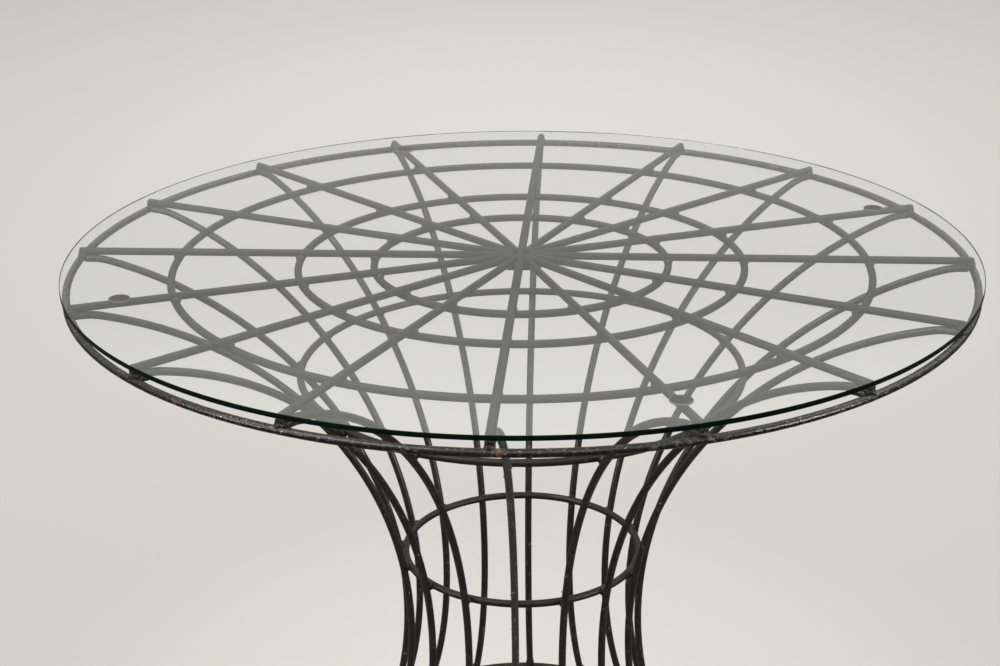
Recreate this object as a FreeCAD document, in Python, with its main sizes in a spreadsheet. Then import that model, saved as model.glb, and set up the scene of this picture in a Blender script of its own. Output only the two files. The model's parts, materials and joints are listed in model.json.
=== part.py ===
import FreeCAD, Part
import os

# A round garden table of welded iron rod with a loose glass top.
# Sixteen rods run out from a small plate at the centre, like the spokes of a wheel, and lie on
# four flat rings. Under each end of a spoke a leg starts at the outer ring, bows in to a narrow
# waist and out again to a ring on the ground. Two more rings lie inside the legs.
# Millimetres, +Z up, the origin on the ground under the centre, the viewer's side at -Y.

doc = FreeCAD.newDocument("garden_table")

# Driving sizes

sizes = doc.addObject("Spreadsheet::Sheet", "sizes")
driving_sizes = [
    ("rod_dia", 9.5),               # round bar, all through the frame
    ("weld_gap", 0.2),              # hair of space between welded rods, bridged by the weld
    ("ring_height", 716),           # centre of the flat rings above the ground
    ("outer_ring_radius", 568),
    ("second_ring_inset", 127),     # from the outer ring's centre line in to the second ring's
    ("third_ring_inset", 158),      # from the second ring to the third
    ("inner_ring_inset", 96),       # from the third ring to the inner one
    ("spoke_short", 3),             # spoke tip short of the outer ring's outer face
    ("spoke_start", 12),            # pointed end of a short spoke from the centre
    ("spoke_parting", 21.5),        # degrees that a pointed end may fill
    ("leg_straight", 9),            # level stretch of a leg at the outer ring
    ("leg_bend_radius", 85),        # bend below the outer ring
    ("leg_reach", 410),             # from the outer ring in to a leg where the cage is narrowest
    ("leg_narrow_height", 218.5),
    ("collar_height", 573),         # ring inside the legs, under the top
    ("waist_height", 314),          # ring inside the legs, at the waist
    ("plate_width", 64),
    ("plate_front", 31),            # edge left between two cut corners
    ("plate_thickness", 4),
    ("plate_hole_dia", 42),
    ("pad_dia", 26),
    ("pad_thickness", 1.75),        # pad above the spoke that carries it
    ("pad_saddle", 0.4),            # depth of the groove that the spoke presses into a pad
    ("pad_inset", 60),              # from the outer ring's centre line in to a pad
    ("glass_overhang", 2.25),       # rim of the glass beyond the outer ring's outer face
    ("glass_thickness", 6),
    ("glass_edge", 0.8),            # ground edge, top and bottom
    ("weld_dia", 13.5),             # weld where a spoke crosses a ring
    ("rim_weld_dia", 15.5),         # weld at the outer ring, where a leg starts too
    ("rim_weld_inset", 3),          # that weld sits a little inside the ring's centre line
    ("cage_weld_dia", 13.5),        # weld between a leg and a ring
    ("hub_weld_dia", 7),            # weld between two spokes on the plate
    ("hub_weld_radius", 29),        # from the centre to such a weld
]

# Sizes that follow from the driving ones

places = doc.addObject("Spreadsheet::Sheet", "places")
worked_out = [
    ("rod_radius", "=sizes.rod_dia / 2"),
    ("rod_step", "=sizes.rod_dia + sizes.weld_gap"),
    ("second_ring_radius", "=sizes.outer_ring_radius - sizes.second_ring_inset"),
    ("third_ring_radius", "=second_ring_radius - sizes.third_ring_inset"),
    ("inner_ring_radius", "=third_ring_radius - sizes.inner_ring_inset"),
    ("spoke_height", "=sizes.ring_height + rod_step"),
    ("spoke_tip", "=sizes.outer_ring_radius + rod_radius - sizes.spoke_short"),
    # The leg: a level stretch, a bend, and one long bow that is tangent to the bend
    ("narrow_radius", "=sizes.outer_ring_radius - sizes.leg_reach"),
    ("bend_x", "=sizes.outer_ring_radius - rod_radius - sizes.weld_gap - sizes.leg_straight"),
    ("bend_z", "=sizes.ring_height - sizes.leg_bend_radius"),
    ("bow_reach", "=bend_x - narrow_radius"),
    ("bow_rise", "=bend_z - sizes.leg_narrow_height"),
    ("bow_radius", "=(bow_reach ^ 2 + bow_rise ^ 2 - sizes.leg_bend_radius ^ 2)"
                   " / (2 * (bow_reach - sizes.leg_bend_radius))"),
    ("bow_x", "=narrow_radius + bow_radius"),
    ("bend_turn", "=atan((bow_x - bend_x) / bow_rise)"),
    ("foot_height", "=rod_radius"),
    ("bow_top_turn", "=90 deg - bend_turn"),
    ("bow_foot_turn", "=asin((sizes.leg_narrow_height - foot_height) / bow_radius)"),
    ("foot_gap_turn", "=asin((rod_radius + sizes.weld_gap) / bow_radius)"),
    ("base_ring_radius", "=bow_x - bow_radius * cos(bow_foot_turn)"),
    # Collar and waist rings touch the inside of the bow
    ("inside_radius", "=bow_radius + rod_step"),
    ("collar_turn", "=asin((sizes.collar_height - sizes.leg_narrow_height) / inside_radius)"),
    ("waist_turn", "=asin((sizes.waist_height - sizes.leg_narrow_height) / inside_radius)"),
    ("collar_ring_radius", "=bow_x - inside_radius * cos(collar_turn)"),
    ("waist_ring_radius", "=bow_x - inside_radius * cos(waist_turn)"),
    # Welds sit where two rods touch
    ("weld_height", "=sizes.ring_height + rod_step / 2"),
    ("rim_weld_radius", "=sizes.outer_ring_radius - sizes.rim_weld_inset"),
    ("collar_weld_radius", "=collar_ring_radius + rod_step / 2 * cos(collar_turn)"),
    ("collar_weld_height", "=sizes.collar_height - rod_step / 2 * sin(collar_turn)"),
    ("waist_weld_radius", "=waist_ring_radius + rod_step / 2 * cos(waist_turn)"),
    ("waist_weld_height", "=sizes.waist_height - rod_step / 2 * sin(waist_turn)"),
    ("base_weld_height", "=sizes.rod_dia + sizes.weld_gap / 2"),
    # Hub, pads and glass
    ("plate_top", "=spoke_height - rod_step / 2 - sizes.weld_gap / 2"),
    ("plate_corner_width", "=(sizes.plate_width + sizes.plate_front) / sqrt(2)"),
    ("pad_radius", "=sizes.outer_ring_radius - sizes.pad_inset"),
    ("glass_bottom", "=spoke_height + rod_radius + sizes.pad_thickness"),
    ("glass_radius", "=sizes.outer_ring_radius + rod_radius + sizes.glass_overhang"),
]


def fill(sheet, rows):
    """Writes rows of an alias and its content to a sheet."""
    for number, (alias, content) in enumerate(rows, start=1):
        sheet.set(f"A{number}", alias)
        sheet.set(f"B{number}", str(content))
        sheet.setAlias(f"B{number}", alias)
    doc.recompute()


fill(sizes, driving_sizes)

fill(places, worked_out)

# Spokes and legs stand at even steps, but for what a hand-made table is off, in degrees.
# The first and the ninth spoke are the two ends of one rod, so these are off alike.

SPOKES = 16
STEP = 360 / SPOKES
FRONT = -93
OFF_STEP = [-0.25, -0.5, -1, -1, 0, 0.5, 0, 0, -0.25, 0.5, 1, 1, 0.5, 0, -0.5, -0.5]
AZIMUTHS = [FRONT + STEP * number + off for number, off in enumerate(OFF_STEP)]
PAD_SPOKES = [13, 1, 5, 9]
CLEAR = "places.rod_radius + sizes.weld_gap"
UPRIGHT = FreeCAD.Rotation()
ACROSS_X = FreeCAD.Rotation(FreeCAD.Vector(0, 1, 0), 90)
TILTED = FreeCAD.Rotation(FreeCAD.Vector(1, 0, 0), 45)

nodes = {}


def add(kind, name, **bound):
    """Adds an object and binds its sizes to the sheets."""
    piece = doc.addObject(kind, name)
    for size, expression in bound.items():
        piece.setExpression(size, expression)
    return piece


def put(piece, radius="0", azimuth=0, height="0", turn=UPRIGHT):
    """Puts a piece at a radius, an azimuth and a height, turned about its own base."""
    piece.Placement = FreeCAD.Placement(FreeCAD.Vector(), turn)
    piece.setExpression("Placement.Base.x", f"{radius} * cos({azimuth})")
    piece.setExpression("Placement.Base.y", f"{radius} * sin({azimuth})")
    piece.setExpression("Placement.Base.z", height)
    return piece


def heading(azimuth):
    """Lays a piece's own Z axis level, pointing away from the centre."""
    return FreeCAD.Rotation(FreeCAD.Vector(0, 0, 1), azimuth) * ACROSS_X


def keep(name, piece):
    """Makes an object a sub-part of the table."""
    piece.Label = name
    nodes[name] = piece
    return piece


def combine(kind, name, base, tool):
    """Adds a cut or a common of two objects."""
    piece = doc.addObject(kind, name)
    piece.Base = base
    piece.Tool = tool
    return piece


def group(name, pieces):
    """Adds a group of objects that stay separate solids."""
    piece = doc.addObject("Part::Compound", name)
    piece.Links = pieces
    return piece


def fuse(name, pieces):
    """Adds one solid made of several."""
    piece = doc.addObject("Part::MultiFuse", name)
    piece.Shapes = pieces
    return piece


def turned(name, pattern, azimuth):
    """Adds a copy of a pattern piece, turned about the table's centre line."""
    piece = group(name, [pattern])
    piece.Placement = FreeCAD.Placement(FreeCAD.Vector(), FreeCAD.Rotation(FreeCAD.Vector(0, 0, 1), azimuth))
    return piece


# Rings

def ring(name, radius, height, tube="places.rod_radius"):
    """A hoop of rod, lying level."""
    return put(add("Part::Torus", name, Radius1=radius, Radius2=tube), height=height)


outer_ring = keep("outer_ring", ring("outer_ring", "sizes.outer_ring_radius", "sizes.ring_height"))
second_ring = keep("second_ring", ring("second_ring", "places.second_ring_radius", "sizes.ring_height"))
third_ring = keep("third_ring", ring("third_ring", "places.third_ring_radius", "sizes.ring_height"))
inner_ring = keep("inner_ring", ring("inner_ring", "places.inner_ring_radius", "sizes.ring_height"))
collar_ring = keep("collar_ring", ring("collar_ring", "places.collar_ring_radius", "sizes.collar_height"))
waist_ring = keep("waist_ring", ring("waist_ring", "places.waist_ring_radius", "sizes.waist_height"))
base_ring = keep("base_ring", ring("base_ring", "places.base_ring_radius", "places.foot_height"))

# Spokes: one runs right across, and the others are ground to a point between their neighbours

def level_rod(name, start, length, azimuth=0, height="places.spoke_height", radius="places.rod_radius"):
    """A straight rod, lying level along an azimuth."""
    return put(add("Part::Cylinder", name, Radius=radius, Height=length), start, azimuth, height,
               heading(azimuth))


through_azimuth = AZIMUTHS[0]
through = level_rod("through_spoke", "-places.spoke_tip", "places.spoke_tip * 2", through_azimuth)
keep("through_spoke", through)
clearance = level_rod("through_clearance", "-places.spoke_tip", "places.spoke_tip * 2", through_azimuth,
                      radius=CLEAR)

blunt = level_rod("spoke_blunt", "sizes.spoke_start", "places.spoke_tip - sizes.spoke_start")
sector = add("Part::Cylinder", "spoke_sector", Radius="places.spoke_tip * 2", Height="sizes.rod_dia * 2")
put(sector, height="places.spoke_height - sizes.rod_dia")
sector.setExpression("Angle", "sizes.spoke_parting")
sector.setExpression("Placement.Rotation.Angle", "360 - sizes.spoke_parting / 2")
spoke_pattern = combine("Part::Common", "spoke_pattern", blunt, sector)

half_way = SPOKES // 2
spokes = {0: through, half_way: through}
for number, azimuth in enumerate(AZIMUTHS):
    name = f"spoke_{number:02d}"
    if number % half_way in (1, half_way - 1):
        beside = turned(f"{name}_whole", spoke_pattern, azimuth)
        spokes[number] = keep(name, combine("Part::Cut", name, beside, clearance))
    elif number % half_way:
        spokes[number] = keep(name, turned(name, spoke_pattern, azimuth))

# Hub plate: a square with its corners cut off and a hole, under the points of the spokes

square = add("Part::Box", "plate_square", Length="sizes.plate_width", Width="sizes.plate_width",
             Height="sizes.plate_thickness")
square.setExpression("Placement.Base.x", "-sizes.plate_width / 2")
square.setExpression("Placement.Base.y", "-sizes.plate_width / 2")
square.setExpression("Placement.Base.z", "places.plate_top - sizes.plate_thickness")
corners = add("Part::Box", "plate_corners", Length="places.plate_corner_width",
              Width="places.plate_corner_width", Height="sizes.plate_thickness")
corners.Placement = FreeCAD.Placement(FreeCAD.Vector(), FreeCAD.Rotation(FreeCAD.Vector(0, 0, 1), 45))
corners.setExpression("Placement.Base.y", "-places.plate_corner_width / sqrt(2)")
corners.setExpression("Placement.Base.z", "places.plate_top - sizes.plate_thickness")
hole = add("Part::Cylinder", "plate_hole", Radius="sizes.plate_hole_dia / 2", Height="sizes.plate_thickness")
hole.setExpression("Placement.Base.z", "places.plate_top - sizes.plate_thickness")
blank = combine("Part::Common", "plate_blank", square, corners)
plate = keep("hub_plate", combine("Part::Cut", "hub_plate", blank, hole))

# Legs


def arc(name, radius, middle_x, middle_z, start, sweep):
    """A bend of the leg's centre line in the XZ plane: its angles run from +X towards +Z."""
    curve = add("Part::Circle", name, Radius=radius, Angle1=start, Angle2=f"{start} + {sweep}")
    curve.Placement = FreeCAD.Placement(FreeCAD.Vector(), FreeCAD.Rotation(FreeCAD.Vector(1, 0, 0), 90))
    curve.setExpression("Placement.Base.x", middle_x)
    curve.setExpression("Placement.Base.z", middle_z)
    return curve


# A leg is bent once at the outer ring and bowed to the waist, and its square end stops at the base ring

level = add("Part::Line", "leg_level", X1="places.bend_x + sizes.leg_straight", Z1="sizes.ring_height",
            X2="places.bend_x", Z2="sizes.ring_height")
level.Y1 = level.Y2 = 0
bend = arc("leg_bend", "sizes.leg_bend_radius", "places.bend_x", "places.bend_z",
           "90 deg", "places.bend_turn")
bow = arc("leg_bow", "places.bow_radius", "places.bow_x", "sizes.leg_narrow_height",
          "90 deg + places.bend_turn", "places.bow_top_turn + places.bow_foot_turn - places.foot_gap_turn")
leg_section = put(add("Part::Circle", "leg_section", Radius="places.rod_radius"),
                  "(places.bend_x + sizes.leg_straight)", 0, "sizes.ring_height", ACROSS_X)
leg_line = group("leg_line", [level, bend, bow])
leg_pattern = doc.addObject("Part::Sweep", "leg_pattern")
leg_pattern.Sections = [leg_section]
leg_pattern.Spine = (leg_line, ["Edge1", "Edge2", "Edge3"])
leg_pattern.Solid = True
for number, azimuth in enumerate(AZIMUTHS):
    name = f"leg_{number:02d}"
    keep(name, turned(name, leg_pattern, azimuth))

# Welds: a lump of bead at each joint, less the rods that it joins

def welds(name, dia, radius, height, joined, azimuths=AZIMUTHS):
    """One weld, less each piece that it joins, and a copy of it at each azimuth."""
    bead = put(add("Part::Sphere", f"{name}_ball", Radius=f"{dia} / 2"), radius, 0, height, TILTED)
    for number, piece in enumerate(joined):
        bead = combine("Part::Cut", f"{name}_cut_{number}", bead, piece)
    copies = [turned(f"{name}_{number:02d}", bead, azimuth) for number, azimuth in enumerate(azimuths)]
    return keep(name, group(name, copies))


welds("rim_welds", "sizes.rim_weld_dia", "places.rim_weld_radius", "places.weld_height",
      [outer_ring, spoke_pattern, leg_pattern])
welds("second_welds", "sizes.weld_dia", "places.second_ring_radius", "places.weld_height",
      [second_ring, spoke_pattern])
welds("third_welds", "sizes.weld_dia", "places.third_ring_radius", "places.weld_height",
      [third_ring, spoke_pattern])
welds("inner_welds", "sizes.weld_dia", "places.inner_ring_radius", "places.weld_height",
      [inner_ring, spoke_pattern])
welds("collar_welds", "sizes.cage_weld_dia", "places.collar_weld_radius", "places.collar_weld_height",
      [collar_ring, leg_pattern])
welds("waist_welds", "sizes.cage_weld_dia", "places.waist_weld_radius", "places.waist_weld_height",
      [waist_ring, leg_pattern])
welds("base_welds", "sizes.cage_weld_dia", "places.base_ring_radius", "places.base_weld_height",
      [base_ring, leg_pattern])

# On the plate a weld sits midway between two spokes and stops a hair short of both

bead_sides = [level_rod(f"bead_side_{number}", "sizes.spoke_start", "sizes.plate_width", azimuth,
                        radius=CLEAR)
              for number, azimuth in enumerate((-STEP / 2, STEP / 2))]
below_plate_top = put(add("Part::Cylinder", "below_plate_top", Radius="sizes.plate_width",
                          Height="sizes.hub_weld_dia"), height="places.plate_top - sizes.hub_weld_dia")
between = [azimuth + (STEP + OFF_STEP[(number + 1) % SPOKES] - OFF_STEP[number]) / 2
           for number, azimuth in enumerate(AZIMUTHS)]
welds("hub_welds", "sizes.hub_weld_dia", "sizes.hub_weld_radius", "places.plate_top",
      [below_plate_top, *bead_sides], between)

# Clear round pads, each pressed down on a spoke, keep the glass from the iron

for number, spoke in enumerate(PAD_SPOKES, start=1):
    disc = add("Part::Cylinder", f"pad_disc_{number}", Radius="sizes.pad_dia / 2",
               Height="sizes.pad_thickness + sizes.pad_saddle")
    put(disc, "places.pad_radius", AZIMUTHS[spoke],
        "places.glass_bottom - sizes.pad_thickness - sizes.pad_saddle")
    keep(f"pad_{number}", combine("Part::Cut", f"pad_{number}", disc, spokes[spoke]))

# Glass: a loose disc with a ground edge

lower_edge = add("Part::Cone", "glass_lower_edge", Radius1="places.glass_radius - sizes.glass_edge",
                 Radius2="places.glass_radius", Height="sizes.glass_edge")
put(lower_edge, height="places.glass_bottom")
middle = add("Part::Cylinder", "glass_middle", Radius="places.glass_radius",
             Height="sizes.glass_thickness - sizes.glass_edge * 2")
put(middle, height="places.glass_bottom + sizes.glass_edge")
upper_edge = add("Part::Cone", "glass_upper_edge", Radius1="places.glass_radius",
                 Radius2="places.glass_radius - sizes.glass_edge", Height="sizes.glass_edge")
put(upper_edge, height="places.glass_bottom + sizes.glass_thickness - sizes.glass_edge")
keep("glass_top", fuse("glass_top", [lower_edge, middle, upper_edge]))

# Build, check and write

doc.recompute()
for piece in doc.Objects:
    if "Invalid" in piece.State or "Error" in piece.State:
        raise RuntimeError(f"{piece.Name} failed: {piece.State}")
for name, piece in nodes.items():
    if piece.Shape.isNull() or not piece.Shape.isValid() or piece.Shape.Volume <= 0:
        raise RuntimeError(f"{name} has no valid shape")

os.makedirs("parts", exist_ok=True)
for name, piece in nodes.items():
    piece.Shape.exportStep(f"parts/{name}.step")
    print(f"{name}: {len(piece.Shape.Solids)} solids, {piece.Shape.Volume:.0f} mm3")
top = nodes["glass_top"].Shape.BoundBox
print(f"{len(nodes)} nodes, {top.XLength:.1f} mm across, {top.ZMax:.1f} mm high")
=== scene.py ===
# %% [markdown]
# # A round iron garden table with a glass top
# The table is sixteen iron bars laid like the spokes of a wheel on flat rings, over a cage of
# sixteen bowed legs, and a loose round glass. Every bar already has its real shape and size in the
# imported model, so Blender's work is the finish: worn black paint, rust, lumpy welds, filed ends,
# soft clear pads and the glass itself.

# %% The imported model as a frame
import json
import math
import random

import bmesh
import bpy
from mathutils import Matrix, Vector, noise

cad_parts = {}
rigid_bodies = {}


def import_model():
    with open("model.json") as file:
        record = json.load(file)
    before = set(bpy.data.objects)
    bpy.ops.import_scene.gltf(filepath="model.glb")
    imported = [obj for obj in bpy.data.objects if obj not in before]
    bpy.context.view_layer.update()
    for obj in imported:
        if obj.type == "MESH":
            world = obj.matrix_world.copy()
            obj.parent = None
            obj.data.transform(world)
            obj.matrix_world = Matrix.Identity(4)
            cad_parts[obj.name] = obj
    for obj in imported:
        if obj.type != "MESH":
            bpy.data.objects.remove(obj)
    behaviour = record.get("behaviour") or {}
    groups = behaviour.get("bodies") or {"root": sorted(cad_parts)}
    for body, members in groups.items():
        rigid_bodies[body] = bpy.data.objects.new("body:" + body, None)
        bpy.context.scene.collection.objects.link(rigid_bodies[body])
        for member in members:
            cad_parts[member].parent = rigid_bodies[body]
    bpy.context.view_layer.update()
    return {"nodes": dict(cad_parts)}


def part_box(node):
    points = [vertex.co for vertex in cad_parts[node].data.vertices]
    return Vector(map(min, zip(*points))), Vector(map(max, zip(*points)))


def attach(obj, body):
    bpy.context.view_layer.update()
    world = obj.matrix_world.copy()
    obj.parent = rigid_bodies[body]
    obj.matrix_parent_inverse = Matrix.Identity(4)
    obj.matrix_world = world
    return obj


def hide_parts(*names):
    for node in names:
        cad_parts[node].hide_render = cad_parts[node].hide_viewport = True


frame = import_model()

nodes = frame["nodes"]

# %% [markdown]
# ## Sizes
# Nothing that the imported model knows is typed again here. A level ring's box gives the bar's
# thickness and the ring's radius. The middle of each leg's box gives its azimuth, because a leg
# stands in one upright plane through the centre of the table.

# %% Sizes read from the frame
MM = 0.001


def ring_radius(name):
    """The radius of a level ring's centre line."""
    low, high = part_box(name)
    return (high.x - low.x) / 2 - (high.z - low.z) / 2


def middle(name):
    """The centre of a node's box."""
    low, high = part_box(name)
    return (low + high) / 2


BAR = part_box("base_ring")[1].z
leg_nodes = sorted(name for name in nodes if name.startswith("leg_"))
azimuths = [math.atan2(middle(name).y, middle(name).x) for name in leg_nodes]
glass_low, glass_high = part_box("glass_top")
print(f"bar {BAR / MM:.1f} mm, glass top at {glass_high.z / MM:.1f} mm")

# %% [markdown]
# ## The camera
# The photograph was taken with a longish lens, from standing height and a little more than two
# metres away. The camera is set by where it stands, what it looks at, and the small angle by which
# it was held out of level. Three axes at right angles, the last one pointing back at the viewer,
# make its turn.

# %% The photograph's view
SENSOR_WIDTH = 36
LENS = 68.1
CAMERA_PLACE = Vector((0.0, -2.2813, 1.5102))
LOOKS_AT = Vector((-0.0275, 0.0, 0.6240))
OUT_OF_LEVEL = math.radians(-0.464)

forward = (LOOKS_AT - CAMERA_PLACE).normalized()
level = forward.cross(Vector((0, 0, 1))).normalized()
right = level * math.cos(OUT_OF_LEVEL) + level.cross(forward) * math.sin(OUT_OF_LEVEL)
turn = Matrix((right, right.cross(forward), -forward)).transposed().to_4x4()

camera = bpy.data.objects.new("camera", bpy.data.cameras.new("camera"))
camera.data.sensor_width = SENSOR_WIDTH
camera.data.lens = LENS
camera.matrix_world = Matrix.Translation(CAMERA_PLACE) @ turn
bpy.context.scene.collection.objects.link(camera)
bpy.context.scene.camera = camera
print(f"camera {(LOOKS_AT - CAMERA_PLACE).length:.2f} m from what it looks at")

# %% [markdown]
# ## Helpers for materials
# A colour is written as it looks on a screen and turned to the linear value that the shader wants.
# One function adds any node. It takes the node's own settings by name, and its sockets in a
# dictionary, by name or by number, where a value may be a plain one or another node's output.

# %% Helpers for materials


def colour(code):
    """A screen colour such as 8a6b3c as linear red, green, blue and alpha."""
    channels = [int(code[i:i + 2], 16) / 255 for i in (0, 2, 4)]
    linear = [c / 12.92 if c <= 0.04045 else ((c + 0.055) / 1.055) ** 2.4 for c in channels]
    return (*linear, 1.0)


def add(tree, kind, sockets=None, **settings):
    """Adds a shader node with its settings and sockets."""
    new = tree.nodes.new("ShaderNode" + kind)
    for name, value in settings.items():
        setattr(new, name, value)
    for name, value in (sockets or {}).items():
        if isinstance(value, bpy.types.NodeSocket):
            tree.links.new(value, new.inputs[name])
        else:
            new.inputs[name].default_value = value
    return new


print("black paint 171513 is", [round(value, 4) for value in colour("171513")])

# %% [markdown]
# The Mix node holds sockets for numbers, for vectors and for colours under the same names, so its
# colour sockets are reached by number. A noise texture's scale is how many features fit in a metre,
# because Object coordinates are metres. So every pattern here is given in millimetres.

# %% Sockets of the Mix node, a new material, and a pattern's scale
SHARE, FIRST, SECOND, MIXED = 0, 6, 7, 2


def start(name):
    """A new material, its node tree emptied, with its output and Object coordinates."""
    material = bpy.data.materials.new(name)
    material.use_nodes = True
    tree = material.node_tree
    tree.nodes.clear()
    return material, tree, add(tree, "OutputMaterial"), add(tree, "TexCoord").outputs["Object"]


def per_metre(millimetres):
    """The scale of a pattern whose features are this many millimetres apart."""
    return 1 / (millimetres * MM)


print("a pattern of 16 mm has a scale of", per_metre(16))

# %% [markdown]
# ## Worn paint on iron bar
# The bars are mild steel, brushed with black oil paint and left outdoors for years:
# - rust shows in brown patches a centimetre or two across;
# - chips and rubs, a few millimetres long, are down to bare grey steel, or to pale primer on the legs;
# - the brush and the rust leave a fine grain, drawn at 2.4 mm because a finer one wouldn't show;
# - dust lies where the bar faces up, thicker on some stretches than on others.
#
# Each of these is a mask made from noise, over one shader. A noise value stays near one half, so a
# mask that starts well above it shows almost nothing. A bar's share of rust or of rubs, from 0 to 1,
# brings the start of that mask down.

# %% How large the wear is, and how it sets in
PATCH_MM = 16
GRAIN_MM = 2.4
RUB_MM = 4
DENT_MM = 7
RUST_STARTS = 0.72
RUST_EDGE = 0.08
RUBS_START = 0.74
RUBS_EDGE = 0.03
COMES_DOWN = 0.3


def wear_masks(tree, place, rust, bare):
    """The noises of rust patches and grain, and the masks of rust and of bare steel."""
    patches = add(tree, "TexNoise", {"Vector": place, "Scale": per_metre(PATCH_MM), "Detail": 7.0,
                                     "Roughness": 0.7}).outputs["Fac"]
    grain = add(tree, "TexNoise", {"Vector": place, "Scale": per_metre(GRAIN_MM), "Detail": 4.0,
                                   "Roughness": 0.65}).outputs["Fac"]
    rubs = add(tree, "TexNoise", {"Vector": place, "Scale": per_metre(RUB_MM), "Detail": 6.0,
                                  "Roughness": 0.8, "Distortion": 0.4}).outputs["Fac"]
    rust_from = RUST_STARTS - rust * COMES_DOWN
    rust_mask = add(tree, "MapRange", {"Value": patches, "From Min": rust_from,
                                       "From Max": rust_from + RUST_EDGE}).outputs["Result"]
    bare_from = RUBS_START - bare * COMES_DOWN
    bare_mask = add(tree, "MapRange", {"Value": rubs, "From Min": bare_from,
                                       "From Max": bare_from + RUBS_EDGE}).outputs["Result"]
    return patches, grain, rust_mask, bare_mask


print(f"half rusted, rust starts at {RUST_STARTS - 0.5 * COMES_DOWN:.2f} of the noise")

# %% [markdown]
# Dust settles on what faces up, so its mask starts from the height of the surface's normal. The
# patches make it uneven. Their noise averages one half, so it is doubled to leave the share as given.

# %% Dust
DUST_FROM = 0.2


def dust_mask_of(tree, patches, dust):
    """Where dust lies: on what faces up, and more where the patches are."""
    normal = add(tree, "NewGeometry").outputs["Normal"]
    height = add(tree, "SeparateXYZ", {"Vector": normal}).outputs["Z"]
    up = add(tree, "MapRange", {"Value": height, "From Min": DUST_FROM, "From Max": 1.0}).outputs["Result"]
    drift = add(tree, "Math", {0: patches, 1: 2 * dust}, operation="MULTIPLY").outputs["Value"]
    return add(tree, "Math", {0: up, 1: drift}, operation="MULTIPLY").outputs["Value"]


print(f"dust lies on what turns less than {math.degrees(math.acos(DUST_FROM)):.0f} degrees from up")

# %% [markdown]
# The layers go over each other as on the bar: paint that has faded unevenly, dust, rust, and last the
# chips. Whole paint is satin and throws a streak of light along the bar, rust is matt and breaks the
# streak up, and a chip down to steel is metal, while one down to primer isn't. Hammer dents and the
# grain make the bump, which is shallow, because a deep one would scatter the streak altogether.

# %% Worn black paint
RUST_ROUGHNESS = 0.85
DENTS_OVER_GRAIN = 2.0


def worn_paint(name, paint="171513", faded="2e2a26", rust=0.25, bare=0.1, dust=0.1,
               dust_tone="6a6458", chips="8d8a83", steel=True, satin=0.4, gloss=0.3, relief=0.16):
    """Oil paint on steel bar. The shares rust, bare and dust go from 0 to 1, relief is in mm."""
    material, tree, output, place = start(name)
    patches, grain, rust_mask, bare_mask = wear_masks(tree, place, rust, bare)
    fading = add(tree, "MapRange", {"Value": grain, "From Min": 0.35, "From Max": 0.75}).outputs["Result"]
    crumbs = add(tree, "MapRange", {"Value": grain, "From Min": 0.35, "From Max": 0.65}).outputs["Result"]
    rust_tone = add(tree, "Mix", {SHARE: crumbs, FIRST: colour("2c2019"), SECOND: colour("70492f")},
                    data_type="RGBA").outputs[MIXED]
    shade = add(tree, "Mix", {SHARE: fading, FIRST: colour(paint), SECOND: colour(faded)},
                data_type="RGBA").outputs[MIXED]
    layers = ((dust_mask_of(tree, patches, dust), colour(dust_tone)), (rust_mask, rust_tone),
              (bare_mask, colour(chips)))
    for mask, tone in layers:
        shade = add(tree, "Mix", {SHARE: mask, FIRST: shade, SECOND: tone}, data_type="RGBA").outputs[MIXED]
    roughness = add(tree, "MapRange", {"Value": rust_mask, "To Min": satin, "To Max": RUST_ROUGHNESS})
    dents = add(tree, "TexNoise", {"Vector": place, "Scale": per_metre(DENT_MM), "Detail": 2.0})
    height = add(tree, "Math", {0: dents.outputs["Fac"], 1: DENTS_OVER_GRAIN, 2: grain},
                 operation="MULTIPLY_ADD")
    bump = add(tree, "Bump", {"Height": height.outputs["Value"], "Strength": 1.0, "Distance": relief * MM})
    shader = add(tree, "BsdfPrincipled", {"Base Color": shade, "Metallic": bare_mask if steel else 0.0,
                                          "Roughness": roughness.outputs["Result"],
                                          "Specular IOR Level": gloss, "Normal": bump.outputs["Normal"]})
    tree.links.new(shader.outputs["BSDF"], output.inputs["Surface"])
    return material


# %% [markdown]
# The same paint has aged in six ways:
# - the rim is held and knocked most, so it is rubbed to a shine, pitted and the barest;
# - the bars under the glass are dull and hardly touched, because the pane covers them;
# - the rings of the cage have a thin film of khaki dust;
# - the legs have kept most of their paint, and their few chips show pale primer;
# - the front leg is chipped more, and its paint is a lighter grey, which is painted sheen;
# - the welds have rusted where slag broke the paint.

# %% The six ways that the paint has aged
finishes = {
    "rim": worn_paint("rubbed_paint_on_rim", paint="0b0a09", faded="191614", rust=0.52, bare=0.51,
                      dust=0.0, satin=0.16, gloss=0.5, relief=0.34),
    "lattice": worn_paint("dull_paint_on_lattice", paint="141210", faded="211e1b", rust=0.3, bare=0.1,
                          dust=0.04, satin=0.5, gloss=0.2),
    "cage": worn_paint("dusty_paint_on_cage_rings", paint="0f0e0c", faded="221f1a", rust=0.35, bare=0.2,
                       dust=0.07, dust_tone="5f583c"),
    "leg": worn_paint("black_paint_on_legs", paint="151412", faded="27241f", rust=0.36, bare=0.38,
                      dust=0.1, chips="b5b2a9", steel=False, satin=0.34, gloss=0.4),
    # The front leg's lighter paint and faded tones are painted sheen, a lit copy of the legs' paint; its
    # chips are real wear.
    "front_leg": worn_paint("chipped_paint_with_painted_sheen_on_front_leg", paint="22211e", faded="3b3934", rust=0.3,
                            bare=0.46, dust=0.22, chips="b5b2a9", steel=False, satin=0.3, gloss=0.5),
    "weld": worn_paint("paint_over_welds", paint="141210", rust=0.5, bare=0.25, dust=0.1),
}
print(len(finishes), "finishes of paint")

# %% [markdown]
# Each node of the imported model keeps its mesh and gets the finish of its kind. The welds, spokes,
# pads and glass are replaced further on, by pieces that bring their own.

# %% The bars get their paint


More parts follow.
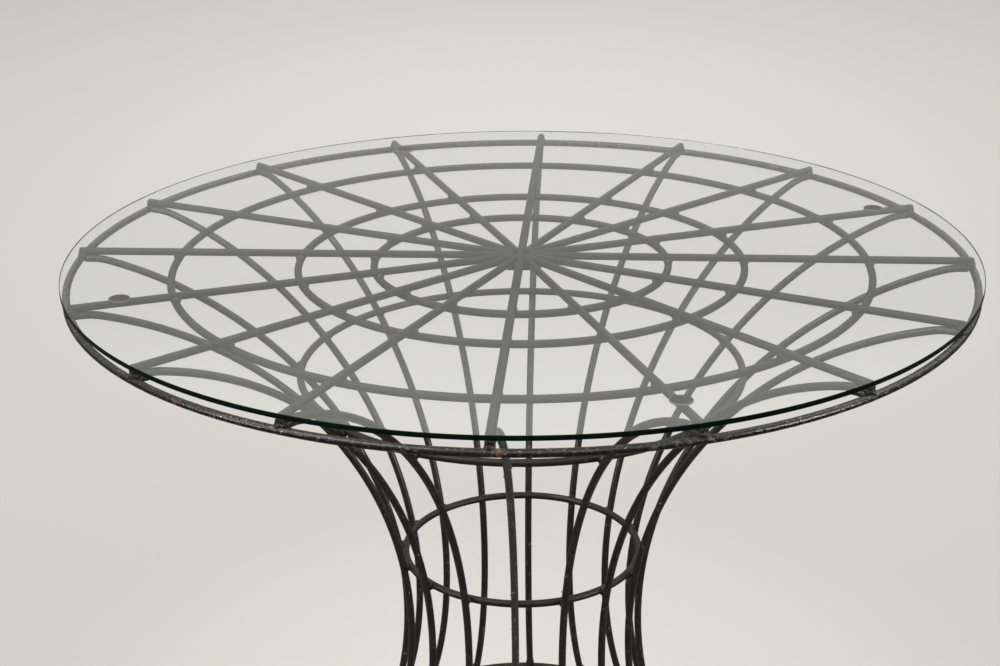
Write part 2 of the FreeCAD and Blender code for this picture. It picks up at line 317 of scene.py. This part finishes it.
def finish_of(name):
    """The finish of a node, by what the node is."""
    if name == "outer_ring":
        return "rim"
    if name in ("collar_ring", "waist_ring", "base_ring"):
        return "cage"
    if name == "leg_00":
        return "front_leg"
    if name.startswith("leg_"):
        return "leg"
    if name.endswith("_welds"):
        return "weld"
    return "lattice"


for name, piece in nodes.items():
    piece.data.materials.clear()
    piece.data.materials.append(finishes[finish_of(name)])
print("paint on", len(nodes), "nodes")

# %% [markdown]
# ## From a bmesh to a piece
# Every new piece ends in the same way: its faces are turned outwards, it becomes a smooth mesh with
# one material, and it is told which body it rides on. Its object stays at the origin, with its place
# in its mesh.

# %% A helper that makes a bmesh a piece


def piece_from(bm, name, material, body):
    """Makes an object of a bmesh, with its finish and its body."""
    mesh = bpy.data.meshes.new(name)
    bmesh.ops.recalc_face_normals(bm, faces=bm.faces)
    bm.to_mesh(mesh)
    bm.free()
    mesh.shade_smooth()
    mesh.materials.append(material)
    piece = bpy.data.objects.new(name, mesh)
    bpy.context.scene.collection.objects.link(piece)
    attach(piece, body)
    print(name, len(mesh.polygons), "faces")
    return piece


# %% [markdown]
# ## Spoke ends
# The smith broke the sharp corner off each spoke's outer end with a file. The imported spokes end
# square, so a copy of each one gets a rounded bevel round that end, and takes its place. The copy's
# loose triangles are merged first, and flat ones are joined, so that the end is one disc with one
# edge for the bevel. The pointed inner ends, which lie together on the plate, stay sharp.

# %% Spokes with eased ends
END_ROUND = 2.8 * MM
END_STEPS = 5
SAME_PLACE = 0.001 * MM
SAME_REACH = 0.1 * MM
STILL_FLAT = math.radians(0.5)
SHARP_FROM = math.radians(40)


def ease_end(name):
    """A copy of a spoke with its outer end rounded over."""
    bm = bmesh.new()
    bm.from_mesh(nodes[name].data)
    bmesh.ops.remove_doubles(bm, verts=bm.verts, dist=SAME_PLACE)
    bmesh.ops.dissolve_limit(bm, angle_limit=STILL_FLAT, verts=bm.verts, edges=bm.edges)
    reach = max(vertex.co.xy.length for vertex in bm.verts)
    rim = [edge for edge in bm.edges
           if all(vertex.co.xy.length > reach - SAME_REACH for vertex in edge.verts)]
    bmesh.ops.bevel(bm, geom=rim, offset=END_ROUND, segments=END_STEPS, profile=0.5, affect="EDGES",
                    material=-1)
    piece = piece_from(bm, f"{name}_eased", finishes["lattice"], "frame")
    piece.data.set_sharp_from_angle(angle=SHARP_FROM)
    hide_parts(name)


for name in nodes:
    if "spoke" in name:
        ease_end(name)

# %% [markdown]
# ## Welds
# A stick weld on thin bar is a lump as wide as the bar, a little different each time. A small
# icosphere, pressed to the joint's proportions and pushed about by noise, gives that shape with few
# faces. A broad noise makes the lump lopsided, and a fine one gives the ripples of the pool.

# %% One weld lump
LOPSIDED_SIZE = 6 * MM
LOPSIDED_SHARE = 0.2
RIPPLE_SIZE = 1.8 * MM
RIPPLE_SHARE = 0.08


def weld_lump(bm, place, azimuth, size):
    """One lump of weld at a place, size being its radial, sideways and upward half widths."""
    shape = Matrix.Translation(place) @ Matrix.Rotation(azimuth, 4, "Z") @ Matrix.Diagonal((*size, 1))
    made = bmesh.ops.create_icosphere(bm, subdivisions=4, radius=1, matrix=shape)
    for vertex in made["verts"]:
        away = vertex.co - place
        swell = noise.noise(vertex.co / LOPSIDED_SIZE) * LOPSIDED_SHARE
        swell += noise.noise(vertex.co / RIPPLE_SIZE) * RIPPLE_SHARE
        vertex.co = place + away * (1 + swell)


print(f"a lump swells or shrinks by up to {LOPSIDED_SHARE + RIPPLE_SHARE:.0%}")

# %% [markdown]
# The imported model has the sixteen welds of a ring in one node, so one mesh holds sixteen lumps and
# replaces it. Under the glass they sit where the spokes rest on the rings. At the rim they stand
# further in, because the spokes end short of the outer ring's outer face.

# %% Welds of the spokes on the rings


def weld_ring(name, radius, height, size):
    """The welds all round one ring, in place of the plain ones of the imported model."""
    bm = bmesh.new()
    for azimuth in azimuths:
        place = Vector((radius * math.cos(azimuth), radius * math.sin(azimuth), height))
        weld_lump(bm, place, azimuth, size)
    piece = piece_from(bm, f"{name}_lumps", finishes["weld"], "frame")
    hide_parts(name)


RIM_INSET = 3 * MM
crossing_size = Vector((5.9, 6.1, 5.6)) * MM
rim_size = Vector((7.0, 5.9, 6.2)) * MM
joint_height = middle("outer_ring").z + BAR / 2
for name in ("second", "third", "inner"):
    weld_ring(f"{name}_welds", ring_radius(f"{name}_ring"), joint_height, crossing_size)
weld_ring("rim_welds", ring_radius("outer_ring") - RIM_INSET, joint_height, rim_size)

# %% [markdown]
# The legs are welded to two rings that lie inside them, and they stand on the third. The box of each
# packed group of welds gives the height of the joint and, less half a weld, how far out it is.

# %% Welds of the cage
cage_size = Vector((5.8, 5.8, 6.2)) * MM
for name in ("collar", "waist", "base"):
    low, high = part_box(f"{name}_welds")
    reach = (high.x - low.x) / 2 - (high.z - low.z) / 2
    weld_ring(f"{name}_welds", reach, (low.z + high.z) / 2, cage_size)

# %% [markdown]
# On the plate in the middle there is no room for a lump at each spoke. A smaller one lies in each gap
# between two points, halfway between their azimuths, and holds both.

# %% Welds between the spokes on the plate
OVER_PLATE = 1 * MM
hub_size = Vector((3.4, 2.6, 2.6)) * MM
hub_low, hub_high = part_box("hub_welds")
hub_reach = (hub_high.x - hub_low.x) / 2 - (hub_high.z - hub_low.z)
bm = bmesh.new()
for first, second in zip(azimuths, azimuths[1:] + azimuths[:1]):
    between = math.atan2(math.sin(first) + math.sin(second), math.cos(first) + math.cos(second))
    place = Vector((hub_reach * math.cos(between), hub_reach * math.sin(between), hub_low.z + OVER_PLATE))
    weld_lump(bm, place, between, hub_size)
hub_lumps = piece_from(bm, "hub_welds_lumps", finishes["weld"], "frame")
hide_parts("hub_welds")

# %% [markdown]
# ## Spatter
# Drops of steel fly off a stick weld and freeze on the bars near it. The photograph shows two on
# the front leg, under the waist ring. Others lie about the joints on that leg and its neighbours.
# A drop is a little ball sunk by about a third in the bar's side. A leg is bowed, so its middle moves
# in and out with height, and the leg's own points nearest to a height say where the middle is there.

# %% Spatter on the front legs
UNDER_WAIST_RING = (302, 286)
ABOUT_THE_JOINTS = (335, 552, 596)
POINTS_ROUND_BAR = 24
STANDS_OFF = 0.3 * MM
SIDEWAYS_DEGREES = (-110, -70)
DROP_RADIUS_MM = (0.8, 1.6)
chance = random.Random(7)
bm = bmesh.new()
for name in ("leg_00", "leg_01", "leg_15", "leg_02"):
    points = [vertex.co for vertex in nodes[name].data.vertices]
    out = Vector((middle(name).x, middle(name).y, 0)).normalized()
    for height in UNDER_WAIST_RING + ABOUT_THE_JOINTS if name == "leg_00" else ABOUT_THE_JOINTS:
        near = sorted(points, key=lambda point: abs(point.z - height * MM))[:POINTS_ROUND_BAR]
        core = sum(near, Vector()) / len(near)
        aside = math.radians(chance.uniform(*SIDEWAYS_DEGREES))
        away = Matrix.Rotation(aside, 3, "Z") @ out
        ball = Matrix.Translation(core + away * (BAR / 2 + STANDS_OFF))
        radius = chance.uniform(*DROP_RADIUS_MM) * MM
        bmesh.ops.create_icosphere(bm, subdivisions=2, radius=radius, matrix=ball)
piece_from(bm, "weld_spatter", finishes["weld"], "frame")

# %% [markdown]
# ## The glass
# The top is float glass, six millimetres thick. It is clear face on and green end on, because iron in
# it absorbs red over a long path, so the colour is an absorption in its volume and not a paint. It
# casts no shadow of its own here: a real clear pane takes little light from the floor, but a path
# tracer doesn't follow lamps through glass and would lay a black disc there.

# %% Clear glass


def clear_glass(tree):
    """The shader of a clean polished face: a mirror when seen low, and see-through from above."""
    return add(tree, "BsdfPrincipled", {"Base Color": colour("ffffff"), "Roughness": 0.0, "IOR": 1.52,
                                        "Transmission Weight": 1.0}).outputs["BSDF"]


def green_body(tree):
    """The iron in the glass: it takes red first."""
    return add(tree, "VolumeAbsorption", {"Color": colour("00d7b5"), "Density": 7.0}).outputs["Volume"]


face_glass, tree, output, _ = start("float_glass")
tree.links.new(clear_glass(tree), output.inputs["Surface"])
tree.links.new(green_body(tree), output.inputs["Volume"])
print("clear glass", len(tree.nodes), "nodes")

# %% [markdown]
# The edge is ground, not polished. From outside, the fine scratches stop the view, and the eye sees
# the deep green of a metre of glass behind them. From inside, as at the far rim, the edge is only a
# thin line. So the outside is a dull dark green, and the inside is clear.

# %% Ground edge
edge_glass, tree, output, _ = start("ground_glass_edge")
ground = add(tree, "BsdfPrincipled", {"Base Color": colour("021510"), "Roughness": 0.3,
                                      "Specular IOR Level": 0.12}).outputs["BSDF"]
inside = add(tree, "NewGeometry").outputs["Backfacing"]
both = add(tree, "MixShader", {0: inside, 1: ground, 2: clear_glass(tree)})
tree.links.new(both.outputs["Shader"], output.inputs["Surface"])
tree.links.new(green_body(tree), output.inputs["Volume"])
print("ground edge", len(tree.nodes), "nodes")

# %% [markdown]
# The pane is a circle, extruded by its thickness. Its two corners are taken off by a narrow ground
# bevel. The flat faces are left flat shaded, so that the view through them isn't bent. They are the
# two faces with many corners, and every face of the edge has four.

# %% Pane
ARRIS = 0.8 * MM
ARRIS_STEPS = 3
PANE_STEPS = 384
glass_radius = (glass_high.x - glass_low.x) / 2
bm = bmesh.new()
bmesh.ops.create_circle(bm, cap_ends=True, segments=PANE_STEPS, radius=glass_radius,
                        matrix=Matrix.Translation((0, 0, glass_low.z)))
grown = bmesh.ops.extrude_face_region(bm, geom=bm.faces[:])
upper = [item for item in grown["geom"] if isinstance(item, bmesh.types.BMVert)]
bmesh.ops.translate(bm, verts=upper, vec=(0, 0, glass_high.z - glass_low.z))
level_edges = [edge for edge in bm.edges if abs(edge.verts[0].co.z - edge.verts[1].co.z) < MM]
bmesh.ops.bevel(bm, geom=level_edges, offset=ARRIS, segments=ARRIS_STEPS, profile=0.5,
                affect="EDGES", material=-1)
pane = piece_from(bm, "glass_pane", face_glass, "glass")
pane.data.materials.append(edge_glass)
for polygon in pane.data.polygons:
    on_edge = len(polygon.vertices) == 4
    polygon.use_smooth = on_edge
    polygon.material_index = int(on_edge)
pane.visible_shadow = False
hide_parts("glass_top")

# %% [markdown]
# ## Pads
# Four clear vinyl bumpers keep the glass off the iron. Vinyl goes yellow and cloudy with age, so they
# are now only half clear, in a grey that leans to olive, and no two spots are quite alike. Half of
# the light goes through, and a moderate roughness keeps what lies behind them a blur.

# %% Aged clear vinyl
CLOUD_MM = 6
vinyl, tree, output, place = start("aged_clear_vinyl")
cloud = add(tree, "TexNoise", {"Vector": place, "Scale": per_metre(CLOUD_MM), "Detail": 3.0})
shade = add(tree, "Mix", {SHARE: cloud.outputs["Fac"], FIRST: colour("5a5a4b"), SECOND: colour("737360")},
            data_type="RGBA").outputs[MIXED]
shader = add(tree, "BsdfPrincipled", {"Base Color": shade, "Roughness": 0.35, "IOR": 1.53,
                                      "Transmission Weight": 0.5})
tree.links.new(shader.outputs["BSDF"], output.inputs["Surface"])
print("aged vinyl", len(tree.nodes), "nodes")

# %% [markdown]
# Each pad is a low round cushion with a rounded shoulder. Half of its outline, turned about the
# upright axis, makes it, as it would be turned on a lathe. Then it moves to its place on the spoke.

# %% Pads
SHOULDER = 0.9 * MM
SHOULDER_STEPS = 4
PAD_STEPS = 48
ON_THE_AXIS = 0.01 * MM
for name in sorted(name for name in nodes if name.startswith("pad_")):
    low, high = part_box(name)
    reach = (high.x - low.x) / 2
    outline = [(0, low.z), (reach - SHOULDER / 2, low.z), (reach, low.z + SHOULDER / 2)]
    for step in range(SHOULDER_STEPS + 1):
        angle = math.radians(90 * step / SHOULDER_STEPS)
        outline.append((reach - SHOULDER + SHOULDER * math.cos(angle),
                        high.z - SHOULDER + SHOULDER * math.sin(angle)))
    outline.append((0, high.z))
    bm = bmesh.new()
    chain = [bm.verts.new((across, 0, up)) for across, up in outline]
    edges = [bm.edges.new(pair) for pair in zip(chain, chain[1:])]
    bmesh.ops.spin(bm, geom=chain + edges, axis=(0, 0, 1), cent=(0, 0, 0), angle=math.tau,
                   steps=PAD_STEPS, use_merge=True)
    bmesh.ops.remove_doubles(bm, verts=bm.verts, dist=ON_THE_AXIS)
    spot = (low + high) / 2
    bmesh.ops.translate(bm, verts=bm.verts, vec=(spot.x, spot.y, 0))
    pad = piece_from(bm, f"clear_{name}", vinyl, "frame")
    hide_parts(name)

# %% [markdown]
# ## Floor
# A studio sweep is one pale sheet whose colour holds painted light: it is brightest behind the table
# and darker far out, as a lamp's light falls off. The squared distance from the painted bright place,
# which counts more across than along, turns to painted falloff by d / (d + 1). That starts softly,
# ends in no edge and never goes past one. A painted pool of light lies under the table.

# %% The sweep's painted light
# Where the painted light is brightest, how fast it falls off, and the reach of the painted pool of light.
PAINTED_BRIGHT_PLACE = (0.0, 3.2, 0.0)
FALLS_PER_METRE = (0.46, 0.325, 0.0)
PAINTED_POOL_RADIUS = 0.8
sweep, tree, output, place = start("pale_studio_sweep_with_painted_light")
offset = add(tree, "VectorMath", {0: place, 1: PAINTED_BRIGHT_PLACE}, operation="SUBTRACT").outputs["Vector"]
counted = add(tree, "VectorMath", {0: offset, 1: FALLS_PER_METRE}, operation="MULTIPLY").outputs["Vector"]
far = add(tree, "VectorMath", {0: counted, 1: counted}, operation="DOT_PRODUCT").outputs["Value"]
beyond = add(tree, "Math", {0: far, 1: 1.0}, operation="ADD").outputs["Value"]
# Painted falloff of light: the sheet's colour darkens with distance from the bright place.
painted_falloff = add(tree, "Math", {0: far, 1: beyond}, operation="DIVIDE").outputs["Value"]
shade = add(tree, "Mix", {SHARE: painted_falloff, FIRST: colour("e6e2db"), SECOND: colour("bcbbb6")},
            data_type="RGBA").outputs[MIXED]
# A painted pool of light: the colour is lighter near the middle, under the table.
away = add(tree, "VectorMath", {0: place}, operation="LENGTH").outputs["Value"]
painted_pool = add(tree, "MapRange", {"Value": away, "From Min": PAINTED_POOL_RADIUS, "From Max": 0.0}).outputs["Result"]
shade = add(tree, "Mix", {SHARE: painted_pool, FIRST: shade, SECOND: colour("ebe7e0")},
            data_type="RGBA").outputs[MIXED]
print("tone of the sweep", len(tree.nodes), "nodes")

# %% [markdown]
# The camera sees mostly the sheet's own tone with its painted light, and a small part of real light on
# it, so that a soft shadow is left. What shines sees the sheet dim, as the floor before the table was
# unlit. What comes through the glass sees it slightly brighter, because a real pane reflects less at
# this angle than the shader makes it reflect. A ray through sharp glass counts as glossy too, so the
# camera's and the glass's rays are taken off the glossy ones.

# %% Who sees the sweep, and how
EVEN_SHARE = 0.85
PANE_LOSS = 0.13
UNLIT = 0.08
ray = add(tree, "LightPath").outputs
lift = add(tree, "Math", {0: ray["Is Transmission Ray"], 1: PANE_LOSS, 2: 1.0}, operation="MULTIPLY_ADD")
seen = add(tree, "Math", {0: ray["Is Camera Ray"], 1: ray["Is Transmission Ray"]}, operation="ADD",
           use_clamp=True).outputs["Value"]
mirrored = add(tree, "Math", {0: ray["Is Glossy Ray"], 1: seen}, operation="SUBTRACT",
               use_clamp=True).outputs["Value"]
bright_share = add(tree, "Math", {0: seen, 1: EVEN_SHARE}, operation="MULTIPLY").outputs["Value"]
dim_share = add(tree, "Math", {0: mirrored, 1: EVEN_SHARE}, operation="MULTIPLY").outputs["Value"]
paper = add(tree, "BsdfDiffuse", {"Color": shade, "Roughness": 0.9}).outputs["BSDF"]
bright = add(tree, "Emission", {"Color": shade, "Strength": lift.outputs["Value"]}).outputs["Emission"]
dim = add(tree, "Emission", {"Color": shade, "Strength": UNLIT}).outputs["Emission"]
both = add(tree, "MixShader", {0: bright_share, 1: paper, 2: bright}).outputs["Shader"]
both = add(tree, "MixShader", {0: dim_share, 1: both, 2: dim}).outputs["Shader"]
tree.links.new(both, output.inputs["Surface"])
print(f"real light on the sweep {1 - EVEN_SHARE:.0%}")

# %% [markdown]
# The floor itself is a plain level grid at the table's foot, wide enough that its far edge lies on
# the horizon. It is the stage and no part of the object.

# %% Floor
FLOOR_REACH = 40
bm = bmesh.new()
bmesh.ops.create_grid(bm, x_segments=8, y_segments=8, size=FLOOR_REACH)
mesh = bpy.data.meshes.new("floor")
bm.to_mesh(mesh)
bm.free()
mesh.materials.append(sweep)
floor = bpy.data.objects.new("floor", mesh)
bpy.context.scene.collection.objects.link(floor)
print("floor", 2 * FLOOR_REACH, "m square")

# %% [markdown]
# ## World
# The world lights everything evenly. What shines, and what lies through the glass, sees a studio
# that is dim above the horizon and brighter overhead. Seen from the photograph's height, the pane's
# far rim mirrors low directions and its near rim high ones. So two ramps, by a direction's height
# from 0 at the horizon to 1 straight up, lay one even veil of light on the pane.

# %% World
FAR_RIM, HUB, NEAR_RIM = 0.24, 0.34, 0.46
VEIL_AT_FAR_RIM, VEIL_AT_HUB, VEIL_AT_NEAR_RIM = 0.58, 0.45, 1.0
world = bpy.data.worlds.new("studio")
bpy.context.scene.world = world
world.use_nodes = True
tree = world.node_tree
tree.nodes.clear()
direction = add(tree, "TexCoord").outputs["Generated"]
height = add(tree, "SeparateXYZ", {"Vector": direction}).outputs["Z"]
horizon = add(tree, "MapRange", {"Value": height, "From Min": FAR_RIM, "From Max": HUB,
                                 "To Min": VEIL_AT_FAR_RIM, "To Max": VEIL_AT_HUB}).outputs["Result"]
overhead = add(tree, "MapRange", {"Value": height, "From Min": HUB, "From Max": NEAR_RIM,
                                  "To Min": VEIL_AT_HUB, "To Max": VEIL_AT_NEAR_RIM}).outputs["Result"]
strength = add(tree, "Math", {0: horizon, 1: overhead}, operation="MAXIMUM").outputs["Value"]
even = add(tree, "Background", {"Color": colour("fbfaf8"), "Strength": 0.5}).outputs["Background"]
shine = add(tree, "Background", {"Color": colour("faf8ee"), "Strength": strength}).outputs["Background"]
sheet = add(tree, "Background", {"Color": colour("bcbcb6"), "Strength": 1.0}).outputs["Background"]
ray = add(tree, "LightPath").outputs
shiny = add(tree, "Math", {0: ray["Is Glossy Ray"], 1: ray["Is Transmission Ray"]},
            operation="MAXIMUM").outputs["Value"]
lit = add(tree, "MixShader", {0: shiny, 1: even, 2: shine}).outputs["Shader"]
both = add(tree, "MixShader", {0: ray["Is Camera Ray"], 1: lit, 2: sheet}).outputs["Shader"]
tree.links.new(both, add(tree, "OutputWorld").inputs["Surface"])
print("world", len(tree.nodes), "nodes")

# %% [markdown]
# ## Lamps
# Three large soft boxes overhead light the table from above and leave one faint shadow.

# %% Lamps overhead
AIM = Vector((0, 0, 0.5))


def soft_lamp(name, place, side, watts):
    """A square soft box that points at the middle of the table."""
    lamp = bpy.data.lights.new(name, "AREA")
    lamp.size = side
    lamp.energy = watts
    box = bpy.data.objects.new(name, lamp)
    towards = AIM - Vector(place)
    box.matrix_world = Matrix.Translation(place) @ towards.to_track_quat("-Z", "Y").to_matrix().to_4x4()
    bpy.context.scene.collection.objects.link(box)
    return box


soft_lamp("key", place=(-1.8, -1.2, 3.4), side=2.2, watts=70)
soft_lamp("fill", place=(2.4, 0.8, 3.0), side=2.4, watts=30)
soft_lamp("front", place=(0.6, -2.6, 3.4), side=1.8, watts=20)
print(len(bpy.data.lights), "lamps overhead")

# %% [markdown]
# Two smaller boxes stand low at the sides, like windows. Their reflections are the streaks of light
# that run along the rim, left and right. From some places the pane would mirror such a low lamp as a
# white patch, and the floor would show where its light ends. So these two light the iron and the pads
# alone: light linking names a collection of what they reach.

# %% Windows at the sides
reached = bpy.data.collections.new("reached_by_windows")
for piece in bpy.context.scene.objects:
    if piece.type == "MESH" and piece not in (pane, floor):
        reached.objects.link(piece)
left_window = soft_lamp("left_window", place=(-3.2, -1.6, 1.15), side=1.2, watts=34)
right_window = soft_lamp("right_window", place=(3.2, -1.6, 1.1), side=1.0, watts=60)
for window in (left_window, right_window):
    window.light_linking.receiver_collection = reached

# %% [markdown]
# ## Settings
# The Standard view shows a colour as it is written. The dressed table has to stay inside the packed
# one's box.

# %% Settings
bpy.context.scene.view_settings.view_transform = "Standard"
